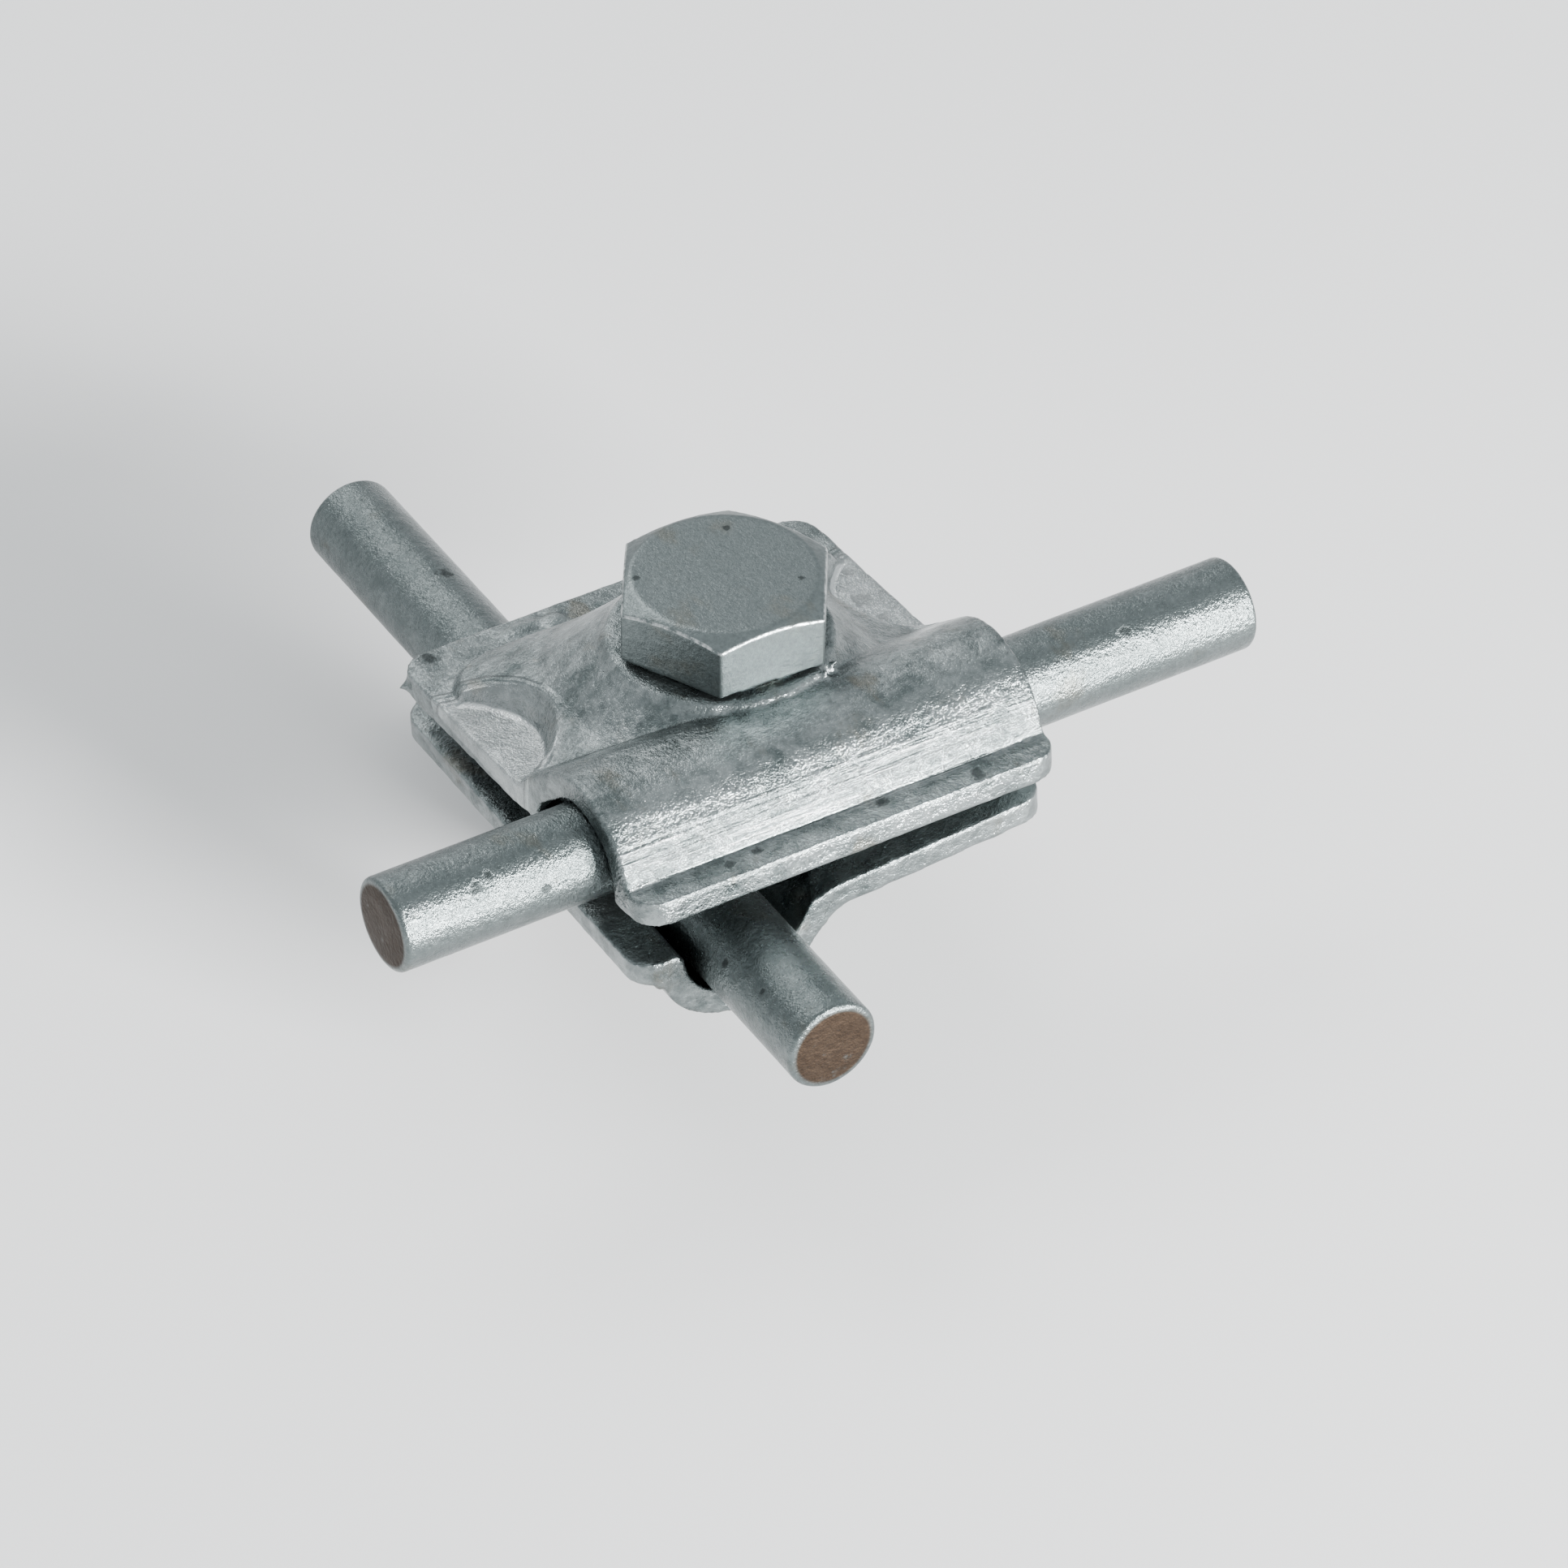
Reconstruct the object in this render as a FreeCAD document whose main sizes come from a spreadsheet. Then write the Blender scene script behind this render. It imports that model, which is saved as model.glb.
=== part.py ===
import FreeCAD, Part
import math
import os
import re
import Sketcher

# Crossing clamp for two round conductors: two pressed sheet plates, each with one
# groove, turned a quarter turn to each other and drawn together by one hexagon bolt.
# Origin on the bolt axis at the height where the two conductors touch.
# +X runs along the upper conductor, +Y along the lower one, +Z up the bolt.

SIZES = (
    ("conductor_diameter", 8.0, "round conductor"),
    ("contact_gap", 0.06, "between the two crossing conductors"),
    ("upper_conductor_near", 37.7, "from the bolt axis towards -X"),
    ("upper_conductor_far", 42.0, "from the bolt axis towards +X"),
    ("lower_conductor_near", 33.4, "from the bolt axis towards -Y"),
    ("lower_conductor_far", 45.0, "from the bolt axis towards +Y"),
    ("conductor_break", 0.45, "chamfer round each cut end"),
    ("sheet_thickness", 2.3, "both plates"),
    ("plate_width", 39.0, "plate measured along its groove"),
    ("corner_radius", 2.5, "plate corners seen from above"),
    ("tail_reach", 18.9, "bolt axis to the flat edge of a plate"),
    ("upper_lip_reach", 21.2, "bolt axis to the lip edge, upper plate"),
    ("lower_lip_reach", 19.5, "bolt axis to the lip edge, lower plate"),
    ("upper_groove_offset", 11.0, "bolt axis to the groove, upper plate"),
    ("lower_groove_offset", 10.1, "bolt axis to the groove, lower plate"),
    ("upper_flank_angle", 37.0, "slope from the flat to the ridge, upper plate"),
    ("lower_flank_angle", 50.0, "slope from the flat to the ridge, lower plate"),
    ("groove_radius", 5.2, "inside of the groove"),
    ("ridge_rise", 6.0, "height of the ridge over the flat"),
    ("seat_clearance", 0.1, "groove crown to its conductor"),
    ("upper_tail_gap", 0.15, "upper plate's flat edge over the lower conductor"),
    ("lower_tail_gap", 0.35, "lower plate's flat edge under the upper conductor"),
    ("seat_height", 10.75, "boss face from the plane where the conductors touch"),
    ("boss_radius", 9.2, "flat face of the boss"),
    ("boss_brow", 1.0, "drop from the boss face to the start of the slope"),
    ("dome_half_width", 18.3, "half the raised area, measured along the groove"),
    ("dome_back", 15.4, "bolt axis to the raised area's edge on the flat"),
    ("dome_front", 11.2, "bolt axis to the raised area's edge under the ridge"),
    ("dome_corner", 4.6, "corner radius of the raised area"),
    ("wall_rise", 1.1, "height of the steep foot of the raised area"),
    ("wall_inset", 0.6, "how far the steep foot leans in"),
    ("shoulder_rise", 2.9, "height where the slope up to the boss begins"),
    ("shoulder_radius", 13.0, "bolt axis to where that slope begins"),
    ("recess_radius", 7.0, "half-moon recess at its floor"),
    ("recess_centre", 21.6, "bolt axis to the recess centre, along the groove"),
    ("recess_shift", 4.7, "bolt axis to the recess centre, away from the ridge"),
    ("recess_draft", 24.0, "lean of the recess wall"),
    ("bolt_diameter", 10.0, "outside of the bolt thread"),
    ("bolt_length", 30.0, "under the head to the tip"),
    ("bolt_point", 1.0, "chamfer at the tip"),
    ("head_across_flats", 16.3, "hexagon head"),
    ("head_height", 5.35, "hexagon head over its washer face"),
    ("head_chamfer_angle", 26.0, "on the corners of the head"),
    ("head_flat_radius", 7.6, "flat top of the head inside the chamfer"),
    ("washer_face_radius", 7.7, "turned face under the head"),
    ("washer_face_height", 0.4, "turned face under the head"),
    ("head_turn", -2.73, "turn of the hexagon round its axis"),
    ("head_seat_gap", 0.05, "between the head and the boss face"),
    ("hole_diameter", 11.0, "clearance hole in the upper plate"),
    ("upper_plate_drift", 0.4, "upper plate pushed towards -X in the play of its hole"),
    ("thread_clearance", 0.08, "bolt to the collar's bore, on the radius"),
    ("collar_radius", 7.2, "threaded collar of the lower plate"),
    ("collar_height", 4.0, "collar over the boss face"),
    ("collar_bevel", 1.0, "root of the collar"),
)

doc = FreeCAD.newDocument("crossing_clamp")

sizes = doc.addObject("Spreadsheet::Sheet", "sizes")
for row, (alias, value, note) in enumerate(SIZES, start=1):
    sizes.set("A%d" % row, alias)
    sizes.set("B%d" % row, repr(value))
    sizes.setAlias("B%d" % row, alias)
    sizes.set("C%d" % row, note)
doc.recompute()


def bind(obj, path, formula):
    """Tie one property to a formula; a bare word in it is a size of the sheet."""
    full = re.sub(r"\b[a-z_]+\b(?!\.)(?<!fit\.)", lambda word: NAMED.get(word.group(), word.group()), formula)
    obj.setExpression(path, full)


NAMED = {alias: "sizes." + alias for alias, value, note in SIZES}

# What follows from the sizes: each plate lies on its own conductor with the crown of
# its groove and comes down on the other conductor with its flat edge, which tilts it.
fit = doc.addObject("App::VarSet", "fit")
for plate in ("upper", "lower"):
    fit.addProperty("App::PropertyAngle", plate + "_tilt", "fit")
    fit.addProperty("App::PropertyFloat", plate + "_lift", "fit")
    fit.addProperty("App::PropertyFloat", plate + "_axis", "fit")
    span = "( %s_groove_offset + tail_reach )" % plate
    centre = "( ridge_rise - groove_radius )"
    rise = "( conductor_diameter + seat_clearance + contact_gap - %s_tail_gap - groove_radius )" % plate
    bind(fit, plate + "_tilt",
         "asin( %s / sqrt( %s ^ 2 + %s ^ 2 ) ) - atan( %s / %s )" % (rise, span, centre, centre, span))
    bind(fit, plate + "_lift",
         "%s_tail_gap - contact_gap / 2 + tail_reach * sin( %s_tilt )" % (plate, plate))
    bind(fit, plate + "_axis",
         "%s_groove_offset * cos( %s_tilt ) - %s * sin( %s_tilt )" % (plate, plate, centre, plate))
doc.recompute()

OUTER = "( groove_radius + sheet_thickness )"
CROWN = "( ridge_rise - groove_radius )"


def origin_plane(body, role):
    """The body's own origin plane with the given role."""
    return [item for item in body.Origin.OriginFeatures if item.Role == role][0]


def sketch_on(body, name, role):
    """An empty sketch on one of the body's origin planes."""
    sketch = body.newObject("Sketcher::SketchObject", name)
    sketch.AttachmentSupport = [(origin_plane(body, role), "")]
    sketch.MapMode = "FlatFace"
    return sketch


def level(sketch, height):
    """Lift a sketch on the XY plane to a height over the underside of the sheet."""
    bind(sketch, "AttachmentOffset.Base.z", height)


def square_to_bolt(sketch, plate, height):
    """Set a sketch on the XY plane square to the bolt, at a height over the conductors' contact."""
    sketch.AttachmentOffset = FreeCAD.Placement(
        FreeCAD.Vector(0, 0, 1), FreeCAD.Rotation(FreeCAD.Vector(1, 0, 0), 1))
    reach = "( %s - fit.%s_lift )" % (height, plate)
    bind(sketch, "AttachmentOffset.Base.y", "- %s * sin( fit.%s_tilt )" % (reach, plate))
    bind(sketch, "AttachmentOffset.Base.z", "%s * cos( fit.%s_tilt )" % (reach, plate))
    bind(sketch, "AttachmentOffset.Rotation.Angle", "fit.%s_tilt" % plate)


def along_bolt(sketch, plate, height):
    """Set a sketch on the YZ plane so that its upright axis is the bolt axis."""
    sketch.AttachmentOffset = FreeCAD.Placement(
        FreeCAD.Vector(1, 1, 0), FreeCAD.Rotation(FreeCAD.Vector(0, 0, 1), 1))
    reach = "( %s - fit.%s_lift )" % (height, plate)
    bind(sketch, "AttachmentOffset.Base.x", "- %s * sin( fit.%s_tilt )" % (reach, plate))
    bind(sketch, "AttachmentOffset.Base.y", "%s * cos( fit.%s_tilt )" % (reach, plate))
    bind(sketch, "AttachmentOffset.Rotation.Angle", "fit.%s_tilt" % plate)


def value_of(formula):
    """The number a formula stands for now, so that a sketch starts near its solution."""
    probe = doc.getObject("probe")
    bind(probe, "Value", formula)
    doc.recompute([probe])
    return float(probe.Value)


probe = doc.addObject("App::VarSet", "probe")
probe.addProperty("App::PropertyFloat", "Value", "probe")


def draw_loop(sketch, corners, bends):
    """A closed outline: corners as pairs of formulas, bends as {side: radius formula}.

    Side k runs from corner k to corner k + 1, counter-clockwise; a side with a bend is an
    arc that bulges outwards.
    """
    points = [FreeCAD.Vector(value_of(x), value_of(y), 0) for x, y in corners]
    count = len(points)
    for side in range(count):
        start, end = points[side], points[(side + 1) % count]
        if side in bends:
            radius = value_of(bends[side])
            chord = end - start
            out = FreeCAD.Vector(chord.y, -chord.x, 0).normalize()
            half = chord.Length / 2
            sag = radius - math.sqrt(max(radius ** 2 - half ** 2, 0.0))
            middle = (start + end) / 2 + out * sag
            sketch.addGeometry(Part.Arc(start, middle, end))
        else:
            sketch.addGeometry(Part.LineSegment(start, end))
    for side in range(count):
        follower = (side + 1) % count
        sketch.addConstraint(Sketcher.Constraint("Coincident", side, 2, follower, 1))
    for side, (x, y) in enumerate(corners):
        for kind, formula, now in (("DistanceX", x, points[side].x), ("DistanceY", y, points[side].y)):
            index = sketch.addConstraint(Sketcher.Constraint(kind, -1, 1, side, 1, now))
            bind(sketch, "Constraints[%d]" % index, formula)
    for side, formula in bends.items():
        index = sketch.addConstraint(Sketcher.Constraint("Radius", side, value_of(formula)))
        bind(sketch, "Constraints[%d]" % index, formula)


def draw_rounded(sketch, half, back, front, radius):
    """A rounded rectangle, in the order of its eight sides."""
    edge = "( %s - %s )" % (half, radius)
    rear = "( %s - %s )" % (back, radius)
    fore = "( %s - %s )" % (front, radius)
    corners = [
        ("- " + edge, "- " + front), (edge, "- " + front),
        (half, "- " + fore), (half, rear),
        (edge, back), ("- " + edge, back),
        ("- " + half, rear), ("- " + half, "- " + fore),
    ]
    draw_loop(sketch, corners, {1: radius, 3: radius, 5: radius, 7: radius})


def draw_ring(sketch, radius):
    """A circle in eight arcs, whose joints answer the eight sides of a rounded rectangle."""
    angles = [-112.5 + 45 * step for step in range(8)]
    corners = []
    for angle in angles:
        corners.append(("%s * cos( %r deg )" % (radius, angle), "%s * sin( %r deg )" % (radius, angle)))
    draw_loop(sketch, corners, {side: radius for side in range(8)})


def lofted_dome(body, plate, inside):
    """The raised area round the bolt: the outside of the sheet, or the hollow under it."""
    side = "hollow" if inside else "skin"
    if inside:
        steps = (
            ("foot", "- 0.6", "( sheet_thickness * 0.45 )"),
            ("wall", "wall_rise + sheet_thickness * 0.23", "( wall_inset + sheet_thickness * 0.64 )"),
        )
        slope_foot = ("shoulder_rise + sheet_thickness * 0.24", "( shoulder_radius - sheet_thickness * 0.65 )")
    else:
        steps = (
            ("foot", "sheet_thickness * 0.8", "0"),
            ("wall", "sheet_thickness + wall_rise", "wall_inset"),
        )
        slope_foot = ("sheet_thickness + shoulder_rise", "shoulder_radius")
    sections = []
    for name, height, inset in steps:
        sketch = sketch_on(body, "%s_%s" % (side, name), "XY_Plane")
        level(sketch, height)
        draw_rounded(sketch, "( dome_half_width - %s )" % inset, "( dome_back - %s )" % inset,
                     "( dome_front - %s )" % inset, "( dome_corner + 0.6 * %s )" % inset)
        sections.append(sketch)
    shoulder = sketch_on(body, side + "_shoulder", "XY_Plane")
    level(shoulder, slope_foot[0])
    across = slope_foot[1]
    draw_rounded(shoulder, across, "( %s - 0.4 )" % across, "( %s - 2.6 )" % across, "( %s * 0.62 )" % across)
    sections.append(shoulder)
    drop = "sheet_thickness" if inside else "0"
    brow = sketch_on(body, side + "_brow", "XY_Plane")
    square_to_bolt(brow, plate, "seat_height - boss_brow - " + drop)
    draw_ring(brow, "( boss_radius + boss_brow * 0.7 - %s * 0.58 )" % drop)
    seat = sketch_on(body, side + "_seat", "XY_Plane")
    square_to_bolt(seat, plate, "seat_height - " + drop)
    draw_ring(seat, "( boss_radius - %s * 0.58 )" % drop)
    loft = body.newObject("PartDesign::AdditiveLoft", side + "_dome")
    loft.Profile = sections[0]
    loft.Sections = sections[1:] + [brow, seat]
    loft.Ruled = True
    loft.Refine = False


def cut_recesses(body, height, radius, name):
    """The two half-moon recesses at the plate's ends, open towards its edges."""
    sketch = sketch_on(body, name + "_floor", "XY_Plane")
    level(sketch, height)
    for side, sign in enumerate(("", "- ")):
        centre = FreeCAD.Vector(value_of(sign + "recess_centre"), value_of("recess_shift"), 0)
        sketch.addGeometry(Part.Circle(centre, FreeCAD.Vector(0, 0, 1), value_of(radius)))
        for kind, formula, now in (("DistanceX", sign + "recess_centre", centre.x),
                                   ("DistanceY", "recess_shift", centre.y)):
            index = sketch.addConstraint(Sketcher.Constraint(kind, -1, 1, side, 3, now))
            bind(sketch, "Constraints[%d]" % index, formula)
        index = sketch.addConstraint(Sketcher.Constraint("Radius", side, value_of(radius)))
        bind(sketch, "Constraints[%d]" % index, radius)
    pocket = body.newObject("PartDesign::Pocket", name)
    pocket.Profile = sketch
    pocket.Reversed = True
    bind(pocket, "Length", "ridge_rise + 2 * sheet_thickness")
    bind(pocket, "TaperAngle", "recess_draft")


def rolled_section(plate, inside):
    """The plate's section across its groove, as the outer skin or as the hollow under it."""
    radius = "groove_radius" if inside else OUTER
    floor = "0" if inside else "sheet_thickness"
    flank = plate + "_flank_angle * 1 deg"
    groove = plate + "_groove_offset"
    touch_x = "( %s * sin( %s ) - %s )" % (radius, flank, groove)
    touch_y = "( %s + %s * cos( %s ) )" % (CROWN, radius, flank)
    foot = "( %s + ( %s - %s ) / tan( %s ) )" % (touch_x, touch_y, floor, flank)
    crease = "( - %s - sqrt( %s ^ 2 - ( %s - %s ) ^ 2 ) )" % (groove, radius, floor, CROWN)
    if inside:
        corners = [(crease, "- 1"), (foot, "- 1"), (foot, "0"), (touch_x, touch_y), (crease, "0")]
        return corners, {3: radius}
    lip = "- %s_lip_reach" % plate
    corners = [(lip, "0"), ("tail_reach", "0"), ("tail_reach", floor), (foot, floor),
               (touch_x, touch_y), (crease, floor), (lip, floor)]
    return corners, {4: radius}


def pressing_body(plate, inside):
    """One of the two solids whose difference is the pressed sheet."""
    body = doc.addObject("PartDesign::Body", plate + ("_hollow" if inside else "_skin"))
    section = sketch_on(body, "section", "YZ_Plane")
    draw_loop(section, *rolled_section(plate, inside))
    pad = body.newObject("PartDesign::Pad", "rolled")
    pad.Profile = section
    pad.Midplane = True
    bind(pad, "Length", "plate_width + 2")
    lofted_dome(body, plate, inside)
    if inside:
        spread = "( recess_radius + sheet_thickness * tan( 45 deg - recess_draft * 0.5 deg ) )"
        cut_recesses(body, "0", spread, "recess")
    else:
        cut_recesses(body, "sheet_thickness", "recess_radius", "recess")
    return body


def threaded_collar(body, plate):
    """The collar drawn out of the boss, square to the bolt."""
    profile = sketch_on(body, "collar_profile", "YZ_Plane")
    along_bolt(profile, plate, "seat_height")
    wide = "( collar_radius + collar_bevel )"
    corners = [("0", "- 0.5"), (wide, "- 0.5"), (wide, "0"), ("collar_radius", "collar_bevel"),
               ("collar_radius", "collar_height"), ("0", "collar_height")]
    draw_loop(profile, corners, {})
    collar = body.newObject("PartDesign::Revolution", "collar")
    collar.Profile = profile
    collar.ReferenceAxis = (profile, ["V_Axis"])
    collar.Angle = 360


def blank(plate, bore):
    """The sheet's outline seen from above, with the hole for the bolt, as a tall prism."""
    body = doc.addObject("PartDesign::Body", plate + "_blank")
    outline = sketch_on(body, "outline", "XY_Plane")
    level(outline, "- 1")
    draw_rounded(outline, "( plate_width / 2 )", "tail_reach", plate + "_lip_reach", "corner_radius")
    pad = body.newObject("PartDesign::Pad", "outline_prism")
    pad.Profile = outline
    bind(pad, "Length", "seat_height + collar_height + 2")
    entry = sketch_on(body, "hole_centre", "XY_Plane")
    square_to_bolt(entry, plate, "seat_height + collar_height + 4")
    circle = entry.addGeometry(Part.Circle(FreeCAD.Vector(0, 0, 0), FreeCAD.Vector(0, 0, 1), value_of(bore) / 2))
    entry.addConstraint(Sketcher.Constraint("Coincident", circle, 3, -1, 1))
    width = entry.addConstraint(Sketcher.Constraint("Diameter", circle, value_of(bore)))
    bind(entry, "Constraints[%d]" % width, bore)
    doc.recompute()
    hole = body.newObject("PartDesign::Hole", "bolt_hole")
    hole.Profile = entry
    hole.DepthType = "ThroughAll"
    hole.DrillPoint = "Flat"
    bind(hole, "Diameter", bore)
    return body


# The two plates are one kind of pressing. Its outer skin and the hollow under it are
# made apart, the hollow standing one sheet thickness inside, and taken from each other.
TURNS = {
    "upper": "rotation(vector(1; 0; 0); - fit.upper_tilt)",
    "lower": "rotation(vector(1; 1; 0); 180) * rotation(vector(1; 0; 0); - fit.lower_tilt)",
}
PLACES = {"upper": "- upper_plate_drift; 0; fit.upper_lift", "lower": "0; 0; - fit.lower_lift"}
BORES = {"upper": "hole_diameter", "lower": "( bolt_diameter + 2 * thread_clearance )"}
nodes = []
for plate in ("upper", "lower"):
    skin = pressing_body(plate, False)
    if plate == "lower":
        threaded_collar(skin, plate)
    hollow = pressing_body(plate, True)
    sheet = doc.addObject("Part::Cut", plate + "_sheet")
    sheet.Base = skin
    sheet.Tool = hollow
    trimmed = doc.addObject("Part::Common", plate + "_plate")
    trimmed.Base = sheet
    trimmed.Tool = blank(plate, BORES[plate])
    bind(trimmed, "Placement", "placement(vector(%s); %s)" % (PLACES[plate], TURNS[plate]))
    nodes.append(trimmed)


def round_conductor(name, across, height, near, far, turn):
    """A straight round bar, its cut ends broken by a small chamfer."""
    body = doc.addObject("PartDesign::Body", name)
    circle = sketch_on(body, "bar_section", "YZ_Plane")
    ring = circle.addGeometry(Part.Circle(FreeCAD.Vector(0, 0, 0), FreeCAD.Vector(0, 0, 1), 4))
    circle.addConstraint(Sketcher.Constraint("Coincident", ring, 3, -1, 1))
    width = circle.addConstraint(Sketcher.Constraint("Diameter", ring, 8))
    bind(circle, "Constraints[%d]" % width, "conductor_diameter")
    bind(circle, "AttachmentOffset.Base.z", "- " + near)
    bar = body.newObject("PartDesign::Pad", "bar")
    bar.Profile = circle
    bind(bar, "Length", "%s + %s" % (near, far))
    doc.recompute()
    ends = []
    for number, face in enumerate(bar.Shape.Faces, start=1):
        if isinstance(face.Surface, Part.Plane):
            ends.append("Face%d" % number)
    chamfer = body.newObject("PartDesign::Chamfer", "cut_ends")
    chamfer.Base = (bar, ends)
    bind(chamfer, "Size", "conductor_break")
    bind(body, "Placement", "placement(vector(%s; %s); rotation(vector(0; 0; 1); %s))" % (across, height, turn))
    nodes.append(body)


AXIS_HEIGHT = "( conductor_diameter + contact_gap ) / 2"
round_conductor("upper_conductor", "0; - fit.upper_axis", AXIS_HEIGHT,
                "upper_conductor_near", "upper_conductor_far", "0")
round_conductor("lower_conductor", "- fit.lower_axis; 0", "- " + AXIS_HEIGHT,
                "lower_conductor_near", "lower_conductor_far", "90")

# Hexagon bolt: head upwards on the boss of the upper plate, tip out below the collar.
bolt = doc.addObject("PartDesign::Body", "clamp_bolt")
hexagon = sketch_on(bolt, "hexagon", "XY_Plane")
UNDERSIDE = "seat_height + head_seat_gap + washer_face_height"
level(hexagon, UNDERSIDE)
head_corners = []
for step in range(6):
    angle = "( head_turn + %d ) * 1 deg" % (60 * step)
    head_corners.append(("head_across_flats / sqrt( 3 ) * cos( %s )" % angle,
                         "head_across_flats / sqrt( 3 ) * sin( %s )" % angle))
draw_loop(hexagon, head_corners, {})
head = bolt.newObject("PartDesign::Pad", "head")
head.Profile = hexagon
bind(head, "Length", "head_height")

shank = sketch_on(bolt, "shank_profile", "XZ_Plane")
bind(shank, "AttachmentOffset.Base.y", "seat_height + head_seat_gap")
reach = "( bolt_diameter / 2 )"
draw_loop(shank, [("0", "- bolt_length"), (reach + " - bolt_point", "- bolt_length"),
                  (reach, "bolt_point - bolt_length"), (reach, "0"), ("washer_face_radius", "0"),
                  ("washer_face_radius", "washer_face_height + 0.5"), ("0", "washer_face_height + 0.5")], {})
turned = bolt.newObject("PartDesign::Revolution", "shank")
turned.Profile = shank
turned.ReferenceAxis = (shank, ["V_Axis"])
turned.Angle = 360

crown = sketch_on(bolt, "head_chamfer_profile", "XZ_Plane")
bind(crown, "AttachmentOffset.Base.y", UNDERSIDE + " + head_height")
rim = "( head_flat_radius )"
drop = "( head_across_flats - head_flat_radius ) * tan( head_chamfer_angle * 1 deg )"
draw_loop(crown, [(rim, "0"), ("head_across_flats", "- " + drop), ("head_across_flats", "1"), (rim, "1")], {})
chamfered = bolt.newObject("PartDesign::Groove", "head_chamfer")
chamfered.Profile = crown
chamfered.ReferenceAxis = (crown, ["V_Axis"])
chamfered.Angle = 360
nodes.append(bolt)

doc.recompute()

faults = []
for item in doc.Objects:
    if "Invalid" in item.State or "Error" in item.State:
        faults.append("%s %s" % (item.Name, item.State))
for node in nodes:
    if node.Shape.isNull() or not node.Shape.isValid() or len(node.Shape.Solids) != 1:
        faults.append("%s has no single valid solid" % node.Label)
if faults:
    raise RuntimeError("; ".join(faults))

os.makedirs("parts", exist_ok=True)
for node in nodes:
    node.Shape.exportStep("parts/%s.step" % node.Label)
    print(node.Label, "%.0f mm3" % node.Shape.Volume, node.Shape.BoundBox)
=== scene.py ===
# %% [markdown]
# This lesson dresses a clamp that joins two crossing round conductors. The solids
# come from a CAD frame: two pressed sheet plates, a hexagon bolt and two bars.
# Here they get what hot zinc and use give the real ones: soft edges, a crystalline
# grey skin, drips, scratches, brown cut ends and a real screw thread.

# %% Load the frame
import math
from contextlib import contextmanager
import bmesh
import bpy
import numpy as np
from mathutils import Matrix, Vector


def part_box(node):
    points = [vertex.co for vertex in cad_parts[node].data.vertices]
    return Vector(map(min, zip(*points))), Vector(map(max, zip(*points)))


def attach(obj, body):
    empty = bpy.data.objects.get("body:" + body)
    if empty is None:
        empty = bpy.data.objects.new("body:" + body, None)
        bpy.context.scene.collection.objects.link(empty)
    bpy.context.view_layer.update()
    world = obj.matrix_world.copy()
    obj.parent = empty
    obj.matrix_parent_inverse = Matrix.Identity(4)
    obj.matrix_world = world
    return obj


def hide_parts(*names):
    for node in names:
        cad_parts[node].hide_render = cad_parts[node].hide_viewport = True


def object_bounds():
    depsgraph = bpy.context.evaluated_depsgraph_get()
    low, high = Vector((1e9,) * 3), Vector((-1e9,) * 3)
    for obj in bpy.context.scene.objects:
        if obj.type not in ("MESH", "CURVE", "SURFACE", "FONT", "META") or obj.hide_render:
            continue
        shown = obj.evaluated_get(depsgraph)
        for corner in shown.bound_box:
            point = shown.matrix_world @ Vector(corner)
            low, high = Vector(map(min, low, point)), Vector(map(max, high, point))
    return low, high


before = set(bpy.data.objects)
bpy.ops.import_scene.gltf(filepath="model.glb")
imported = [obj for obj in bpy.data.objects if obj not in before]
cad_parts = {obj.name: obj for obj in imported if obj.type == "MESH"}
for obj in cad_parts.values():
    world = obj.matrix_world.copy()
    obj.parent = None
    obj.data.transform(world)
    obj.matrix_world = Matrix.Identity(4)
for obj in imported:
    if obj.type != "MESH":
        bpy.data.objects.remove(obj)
cad_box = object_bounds()
MM = 0.001


def rounded(box):
    """A box's two corners in millimetres, for printing."""
    return [[round(value / MM, 1) for value in corner] for corner in box]


print("nodes:", sorted(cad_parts))
print("CAD box in mm:", rounded(cad_box))

# %% [markdown]
# Shader maths is easier to read as sums than as a list of nodes. A wire stands for
# one output of a node; adding or multiplying wires adds the Math nodes.

# %% Wires


class Wire:
    """One output socket, so that sums on it add the Math nodes they need."""

    def __init__(self, bench, socket):
        self.bench = bench
        self.socket = socket

    def sum(self, operation, first, second, clamp=False):
        settings = {"operation": operation, "use_clamp": clamp}
        return self.bench.node("ShaderNodeMath", settings, {0: first, 1: second})

    def __add__(self, other):
        return self.sum("ADD", self, other)

    def __radd__(self, other):
        return self.sum("ADD", other, self)

    def __sub__(self, other):
        return self.sum("SUBTRACT", self, other)

    def __rsub__(self, other):
        return self.sum("SUBTRACT", other, self)

    def __mul__(self, other):
        return self.sum("MULTIPLY", self, other)

    def __rmul__(self, other):
        return self.sum("MULTIPLY", other, self)

    def __truediv__(self, other):
        return self.sum("DIVIDE", self, other)

    def __rtruediv__(self, other):
        return self.sum("DIVIDE", other, self)

    def __pow__(self, other):
        return self.sum("POWER", self, other)

    def greatest(self, other):
        return self.sum("MAXIMUM", self, other)

    def least(self, other):
        return self.sum("MINIMUM", self, other)

    def size(self):
        """The value without its sign."""
        return self.sum("ABSOLUTE", self, 0.0)

    def step(self, low, high):
        """0 below low, 1 above high, smooth between; falls where low is the larger one."""
        settings = {"interpolation_type": "SMOOTHSTEP", "clamp": True}
        falling = not isinstance(low, Wire) and low > high
        ends = (high, low) if falling else (low, high)
        values = {0: self, 1: ends[0], 2: ends[1]}
        ramp = self.bench.node("ShaderNodeMapRange", settings, values)
        return 1 - ramp if falling else ramp

    def band(self, rise, fall):
        """1 between a rising and a falling step, 0 outside them."""
        return self.step(*rise) * self.step(*fall)


print("wires ready")

# %% [markdown]
# A bench is a node tree with one method that makes any node. The same bench serves
# materials and Geometry Nodes, so both are written as sums.

# %% Benches


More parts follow.
